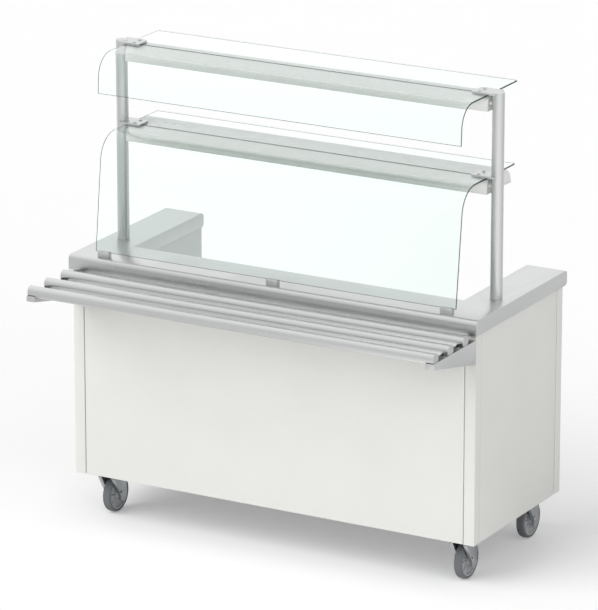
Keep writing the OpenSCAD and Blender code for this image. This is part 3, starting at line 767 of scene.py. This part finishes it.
class SALADBAR_OT_hoods(bpy.types.Operator):
    """Makes the light hoods under each tier, with their lamps"""

    bl_idname = "salad_bar.hoods"
    bl_label = "Light Hoods"

    def execute(self, context):
        for tier in TIERS:
            self.shell(tier)
            self.lamp(tier)
            eased_copy(tier + "_hood_end_plates", tier + "_hood_ends", 0.5 * MM, "white_enamel",
                       enamel())
        eased_copy("lamp_tray_channels", "lamp_trays", 0.4 * MM, "white_enamel", enamel())
        return {"FINISHED"}

    def section(self, tier):
        """Where a hood's section starts, how wide and tall it is, and the width of its flat top."""
        low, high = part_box(tier + "_hood")
        bulge = 0.6 * MM
        start = low.y + bulge
        return start, low.z, high.y - start, high.z - low.z, getattr(sizes(), tier + "_hood_top")

    def shell(self, tier):
        """One rolled sheet: two curved flanks, a flat top and a lip along each side."""
        own = sizes()
        node = tier + "_hood"
        low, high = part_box(node)
        start, floor, width, tall, top = self.section(tier)
        sheet, lip, top_start = own.hood_sheet, own.hood_lip, own.hood_shoulder
        top_end = top_start + top
        front_swell, front_knee, rear_tuck = 4 * MM, tall * 0.62, 6 * MM
        steps = 20

        def front(inset, first=0):
            return curve((inset, 0), (inset - front_swell, front_knee),
                         (top_start + inset / 2, tall - inset), steps, first)

        def rear(inset, first=0):
            return curve((width - inset, 0), (width - rear_tuck - inset, tall - inset),
                         (top_end - inset / 2, tall - inset), steps, first)

        section = [
            (lip, 0), *front(0), *reversed(rear(0)), (width - lip, 0), (width - lip, sheet),
            (width - sheet, sheet), *rear(sheet, 2), *reversed(front(sheet, 2)),
            (sheet, sheet), (lip, sheet)]
        outline = [(start + y, floor + z) for y, z in section]
        mesh = bmesh.new()
        prism(mesh, outline, low.x, high.x)
        eased(mesh, 0.5 * MM, over=40)
        piece(tier + "_hood_shell", mesh, "white_enamel", [enamel()], node)

    def lamp(self, tier):
        """A glass tube with a metal ferrule at each end."""
        low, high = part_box("lamp_tubes")
        start, _, _, _, top = self.section(tier)
        radius, wall, ease = 8 * MM, 1 * MM, 1 * MM
        glass = radius - 0.4 * MM
        height = high.z - radius if tier == "upper" else low.z + radius
        middle = start + sizes().hood_shoulder + top / 2
        place = Matrix.Translation((low.x, middle, height)) @ towards((1, 0, 0))
        reach = high.x - low.x
        ferrule = sizes().lamp_ferrule
        tube = [(glass, ferrule), (glass, reach - ferrule), (glass - wall, reach - ferrule),
                (glass - wall, ferrule)]
        mesh = bmesh.new()
        turned(mesh, tube, place, steps=32, closed=True)
        for end, way in ((0, 1), (reach, -1)):
            cap = [(0, end), (radius - ease, end), (radius, end + way * ease),
                   (radius, end + way * ferrule), (0, end + way * ferrule)]
            turned(mesh, cap, place, steps=32, material=1)
        piece(tier + "_lamp", mesh, "lamp_glass", [lamp_phosphor(), zinc_plate()], "lamp_tubes")


class SALADBAR_OT_fittings(bpy.types.Operator):
    """Makes the clamps, their screws and the clips that hold the glass"""

    bl_idname = "salad_bar.fittings"
    bl_label = "Glass Fittings"

    def execute(self, context):
        edge = sizes().fitting_edge
        for tier in TIERS:
            eased_copy(tier + "_clamp_plates", tier + "_clamps", edge, "brushed_stainless",
                       stainless_along())
        eased_copy("guard_clip_blocks", "guard_clips", edge, "brushed_stainless", stainless_along())
        self.screws()
        return {"FINISHED"}

    def screws(self):
        """Domed screws with a hexagon socket, at the places of the construction model's screws."""
        steps = 24
        shank, head, rise, socket_depth = 3 * MM, 6 * MM, 2.5 * MM, 1.6 * MM
        stem = circle(shank, steps)
        socket = hexagon(sizes().screw_socket, steps)
        mesh = bmesh.new()
        for x, y, low, top in screw_places():
            base = top - rise
            dome = [(1.0, base), (0.93, base + rise * 0.45), (0.70, top - 0.2 * MM), (0.50, top)]
            rings(mesh, [
                (stem, low), (stem, base), *((circle(head * part, steps), z) for part, z in dome),
                (socket, top), (socket, top - socket_depth)], Matrix.Translation((x, y, 0)))
        piece("clamp_screws_domed", mesh, "zinc_plate", [zinc_plate()], "clamp_screws")


def screw_places():
    """Where each clamp screw stands, read from the construction model's loose solids: X, Y, and
    its lowest and highest Z."""
    mesh = copied("clamp_screws")
    left = set(mesh.verts)
    places = []
    while left:
        reached = {left.pop()}
        waiting = list(reached)
        while waiting:
            vert = waiting.pop()
            near = {edge.other_vert(vert) for edge in vert.link_edges} & left
            left -= near
            reached |= near
            waiting += near
        xs, ys, zs = ([getattr(v.co, axis) for v in reached] for axis in "xyz")
        places.append(((min(xs) + max(xs)) / 2, (min(ys) + max(ys)) / 2, min(zs), max(zs)))
    mesh.free()
    return sorted(places)


class SALADBAR_OT_tray_slide(bpy.types.Operator):
    """Makes the tray slide: three tubes with end caps on two folded brackets"""

    bl_idname = "salad_bar.tray_slide"
    bl_label = "Tray Slide"

    wall = 1.5 * MM

    def execute(self, context):
        for row in ROWS:
            self.tube(row)
        self.caps()
        for side in SIDES:
            eased_copy("tray_bracket_plate_" + side, "tray_bracket_" + side, sizes().fitting_edge,
                       "brushed_stainless", stainless_along())
        finish_node("bracket_bolts", zinc_plate())
        return {"FINISHED"}

    def tube(self, row):
        """A drawn tube, cut square."""
        node = "tray_tube_" + row
        low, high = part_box(node)
        y, radius = band(low.y, high.y)
        bore = radius - self.wall
        reach = high.x - low.x
        place = Matrix.Translation((low.x, y, (low.z + high.z) / 2)) @ towards((1, 0, 0))
        section = [(radius, 0), (radius, reach), (bore, reach), (bore, 0)]
        mesh = bmesh.new()
        turned(mesh, section, place, steps=72, closed=True)
        piece(node + "_drawn", mesh, "brushed_stainless", [stainless_along()], node)

    def caps(self):
        """Moulded plugs with a shallow dome."""
        _, far_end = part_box("tray_tube_caps")
        plug = 14 * MM
        mesh = bmesh.new()
        for row in ROWS:
            low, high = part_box("tray_tube_" + row)
            y, radius = band(low.y, high.y)
            z = (low.z + high.z) / 2
            bore = radius - self.wall
            cap = far_end.x - high.x
            dome = [(radius, 0), (radius, cap * 0.35), (radius - 0.6 * MM, cap * 0.7),
                    (radius - 2.5 * MM, cap * 0.92), (radius * 0.4, cap), (0, cap)]
            profile = [(0, -plug), (bore, -plug), (bore, 0), *dome]
            for x, way in ((high.x, 1), (low.x, -1)):
                place = Matrix.Translation((x, y, z)) @ towards((way, 0, 0))
                turned(mesh, profile, place, steps=72)
        piece("tray_tube_plugs", mesh, "grey_plastic", [cap_plastic()], "tray_tube_caps")


class SALADBAR_OT_castors(bpy.types.Operator):
    """Makes the four swivel castors"""

    bl_idname = "salad_bar.castors"
    bl_label = "Castors"

    def execute(self, context):
        for corner in CORNERS:
            eased_copy("castor_mount_" + corner, "castor_plate_" + corner, 0.8 * MM, "zinc_plate",
                       zinc_plate())
            self.fork(corner)
            self.axle(corner)
            self.hub(corner)
            self.tyre(corner)
        finish_node("castor_bolts", zinc_plate())
        return {"FINISHED"}

    def fork(self, corner):
        """A pressed fork. The edges of its legs and flanges are rounded, and its axle holes, with
        their short edges, stay sharp."""
        node = "castor_fork_" + corner
        edge, shortest, apart = 0.9 * MM, 2 * MM, 0.05 * MM
        mesh = copied(node)
        # The tip of each flange and the leg's corner under it stand a hair apart, and become one.
        bmesh.ops.remove_doubles(mesh, verts=mesh.verts, dist=apart)
        eased(mesh, edge, shortest=shortest, seams=True)
        piece("castor_fork_pressing_" + corner, mesh, "zinc_plate", [zinc_plate()], node)

    def wheel(self, corner):
        """Where a wheel is, with its axle along Z, then its radius and half of its width."""
        low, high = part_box("castor_tyre_" + corner)
        place = Matrix.Translation((low + high) / 2) @ towards((1, 0, 0))
        return place, (high.z - low.z) / 2, (high.x - low.x) / 2

    def axle(self, corner):
        """The axle bolt: a chamfered hexagon head, two washers, a nut and the end of its thread."""
        node = "castor_axle_" + corner
        low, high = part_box(node)
        reach = (high.x - low.x) / 2
        leg = 22 * MM
        washer_face = leg + 1.2 * MM
        nut_face = reach - 1 * MM
        across, shank, washer = 17 * MM, 6 * MM, 11 * MM
        chamfer, cone = 0.5 * MM, 0.6
        steps = 48
        stem, disc, sides = circle(shank, steps), circle(washer, steps), hexagon(across, steps)
        flat = circle(across / 2 - chamfer / cone, steps)
        mesh = bmesh.new()
        rings(mesh, [
            (circle(shank * 0.7, steps), -reach), (flat, -reach),
            (hexagon(across, steps, cone), -reach + chamfer), (sides, -washer_face),
            (disc, -washer_face), (disc, -leg), (stem, -leg),
            (stem, leg), (disc, leg), (disc, washer_face),
            (sides, washer_face), (hexagon(across, steps, -cone), nut_face - chamfer),
            (flat, nut_face), (stem, nut_face), (circle(shank * 0.85, steps), reach)],
            self.wheel(corner)[0])
        piece("castor_axle_bolt_" + corner, mesh, "zinc_plate", [zinc_plate()], node)

    def hub(self, corner):
        """A moulded wheel centre: boss, dished web with ribs, and the rim under the tread."""
        node = "castor_hub_" + corner
        place, _, half_tread = self.wheel(corner)
        low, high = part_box(node)
        half = (high.x - low.x) / 2
        rim = (high.z - low.z) / 2
        bore, boss, flank = 6.05 * MM, 15 * MM, half_tread - 2 * MM
        boss_side = [(bore, half), (boss - 1 * MM, half), (boss, half - 1 * MM),
                     (boss + 1.5 * MM, 6 * MM)]
        web_side = [(boss + 4 * MM, 4.6 * MM), (rim - 8 * MM, 4.2 * MM), (rim - 5 * MM, 6 * MM)]
        rim_side = [(rim - 3.4 * MM, flank - 0.6 * MM), (rim - 2.6 * MM, flank), (rim, flank)]
        one_side = boss_side + web_side + rim_side
        profile = one_side + [(r, -h) for r, h in reversed(one_side)]
        mesh = bmesh.new()
        turned(mesh, profile, place, steps=96, closed=True)
        self.ribs(mesh, place, boss, rim - 4 * MM)
        piece("castor_wheel_centre_" + corner, mesh, "wheel_plastic", [castor_nylon()], node)

    def ribs(self, mesh, place, inner, outer):
        """Eight tapered ribs on each face, which run from the boss to the rim."""
        count = 8
        root = sizes().hub_rib / 2
        crest = root * 0.7
        foot, inner_rise, outer_rise = 4 * MM, 10.5 * MM, 9 * MM
        for face in (-1, 1):
            for i in range(count):
                turn = place @ Matrix.Rotation(2 * math.pi * i / count, 4, "Z")
                a, b = (
                    [mesh.verts.new(turn @ Vector((radius, side, face * height)))
                     for side, height in ((-root, foot), (-crest, rise), (crest, rise), (root, foot))]
                    for radius, rise in ((inner, inner_rise), (outer, outer_rise)))
                faces = [mesh.faces.new(a), mesh.faces.new(list(reversed(b)))]
                faces += [mesh.faces.new((a[k], b[k], b[(k + 1) % 4], a[(k + 1) % 4]))
                          for k in range(4)]
                bmesh.ops.recalc_face_normals(mesh, faces=faces)

    def tyre(self, corner):
        """A tread with rounded shoulders and a slightly crowned running face."""
        place, radius, half = self.wheel(corner)
        seat = radius - 10 * MM
        shoulder, shoulder_end = 7 * MM, 0.12
        crown = 0.25 * MM
        round_edge = arc((radius - shoulder, half - shoulder), shoulder, math.pi / 2, shoulder_end, 10)
        one_side = [(seat, half - 2 * MM), (seat + 2 * MM, half - 0.4 * MM), *round_edge]
        profile = one_side + [(radius, 0)] + [(r, -h) for r, h in reversed(one_side)]
        profile = [(min(r, radius - crown * (h / half) ** 2), h) for r, h in profile]
        mesh = bmesh.new()
        turned(mesh, profile, place, steps=96, closed=True)
        piece("castor_tread_" + corner, mesh, "grey_rubber", [castor_tread()], "castor_tyre_" + corner,
              smooth=45)


class SALADBAR_OT_stage(bpy.types.Operator):
    """Lays the floor, sets the soft light and the camera at the drawing's viewpoint"""

    bl_idname = "salad_bar.stage"
    bl_label = "Stage"

    def execute(self, context):
        own = context.scene.salad_bar_stage
        self.floor()
        self.studio(context, own)
        self.soft_light("key_light", (-0.42, -0.62, 0.66), own.key, spread=50)
        self.soft_light("fill_light", (0.80, -0.45, 0.40), own.fill, spread=70)
        self.camera(context, own)
        return {"FINISHED"}

    def floor(self):
        """One wide sheet of paper at the height of the wheels' treads."""
        reach = 60.0
        mesh = bmesh.new()
        bmesh.ops.create_circle(mesh, cap_ends=True, segments=96, radius=reach)
        data = bpy.data.meshes.new("studio_floor")
        mesh.to_mesh(data)
        mesh.free()
        data.materials.append(white_paper())
        floor = bpy.data.objects.new("studio_floor", data)
        floor.location.z = cad_box[0].z
        bpy.context.scene.collection.objects.link(floor)

    def studio(self, context, own):
        """An even grey room. It is white to the camera and through glass, and has bright and dim
        sides to metal."""
        world = bpy.data.worlds.new("White studio")
        context.scene.world = world
        world.use_nodes = True
        tree = world.node_tree
        place = add(tree, "ShaderNodeTexCoord").outputs["Generated"]
        mirrored = mirrored_studio(tree, place, own.dim_side)
        lit = add(tree, "ShaderNodeMapRange", {
            "Value": seen(tree, "Is Glossy Ray"), "To Min": own.sky, "To Max": mirrored})
        level = add(tree, "ShaderNodeMapRange", {
            "Value": seen(tree, "Is Camera Ray", "Is Transmission Ray"),
            "To Min": lit.outputs["Result"], "To Max": 1.0})
        background = tree.nodes["Background"]
        background.inputs["Color"].default_value = linear("#FFFFFF")
        tree.links.new(level.outputs["Result"], background.inputs["Strength"])

    def soft_light(self, name, source, irradiance, spread):
        """A distant light as wide as a studio softbox. spread is its width in degrees. Metal and
        glass don't mirror it."""
        data = bpy.data.lights.new(name, "SUN")
        data.energy = irradiance
        data.angle = math.radians(spread)
        light = bpy.data.objects.new(name, data)
        light.matrix_world = towards(source)
        light.visible_glossy = False
        light.visible_transmission = False
        bpy.context.scene.collection.objects.link(light)

    def camera(self, context, own):
        """Looks at the middle of the picture from the drawing's viewpoint."""
        level = math.cos(own.elevation)
        back = Vector((
            math.sin(own.azimuth) * level, -math.cos(own.azimuth) * level, math.sin(own.elevation)))
        data = bpy.data.cameras.new("drawing_view")
        data.sensor_width = 36.0
        data.lens = own.lens
        data.clip_end = 200.0
        camera = bpy.data.objects.new("drawing_view", data)
        camera.location = Vector(own.target) + back * own.distance
        camera.rotation_mode = "QUATERNION"
        camera.rotation_quaternion = (-back).to_track_quat("-Z", "Y")
        context.scene.collection.objects.link(camera)
        context.scene.camera = camera
        context.scene.view_settings.view_transform = "Standard"


MAKERS = (
    SALADBAR_OT_worktop, SALADBAR_OT_cabinet, SALADBAR_OT_bay, SALADBAR_OT_posts, SALADBAR_OT_glass,
    SALADBAR_OT_hoods, SALADBAR_OT_fittings, SALADBAR_OT_tray_slide, SALADBAR_OT_castors,
    SALADBAR_OT_stage)


class SALADBAR_PT_parts(bpy.types.Panel):
    """Lists the operators that make the salad bar, with its colours and sizes"""

    bl_idname = "SALADBAR_PT_parts"
    bl_label = "Salad Bar"
    bl_space_type = "VIEW_3D"
    bl_region_type = "UI"
    bl_category = "Salad Bar"

    def draw(self, context):
        for maker in MAKERS:
            self.layout.operator(maker.bl_idname)
        for group in (context.scene.salad_bar_colours, context.scene.salad_bar_sizes,
                      context.scene.salad_bar_stage):
            column = self.layout.column()
            for name in group.__annotations__:
                column.prop(group, name)


CLASSES = (SaladBarColours, SaladBarSizes, SaladBarStage, *MAKERS, SALADBAR_PT_parts)


def register():
    for made in CLASSES:
        bpy.utils.register_class(made)
    bpy.types.Scene.salad_bar_colours = bpy.props.PointerProperty(type=SaladBarColours)
    bpy.types.Scene.salad_bar_sizes = bpy.props.PointerProperty(type=SaladBarSizes)
    bpy.types.Scene.salad_bar_stage = bpy.props.PointerProperty(type=SaladBarStage)


def unregister():
    del bpy.types.Scene.salad_bar_stage
    del bpy.types.Scene.salad_bar_sizes
    del bpy.types.Scene.salad_bar_colours
    for made in reversed(CLASSES):
        bpy.utils.unregister_class(made)


def main():
    """Makes every piece in order."""
    register()
    for maker in MAKERS:
        group, name = maker.bl_idname.split(".")
        getattr(getattr(bpy.ops, group), name)()


if __name__ == "__main__":
    main()
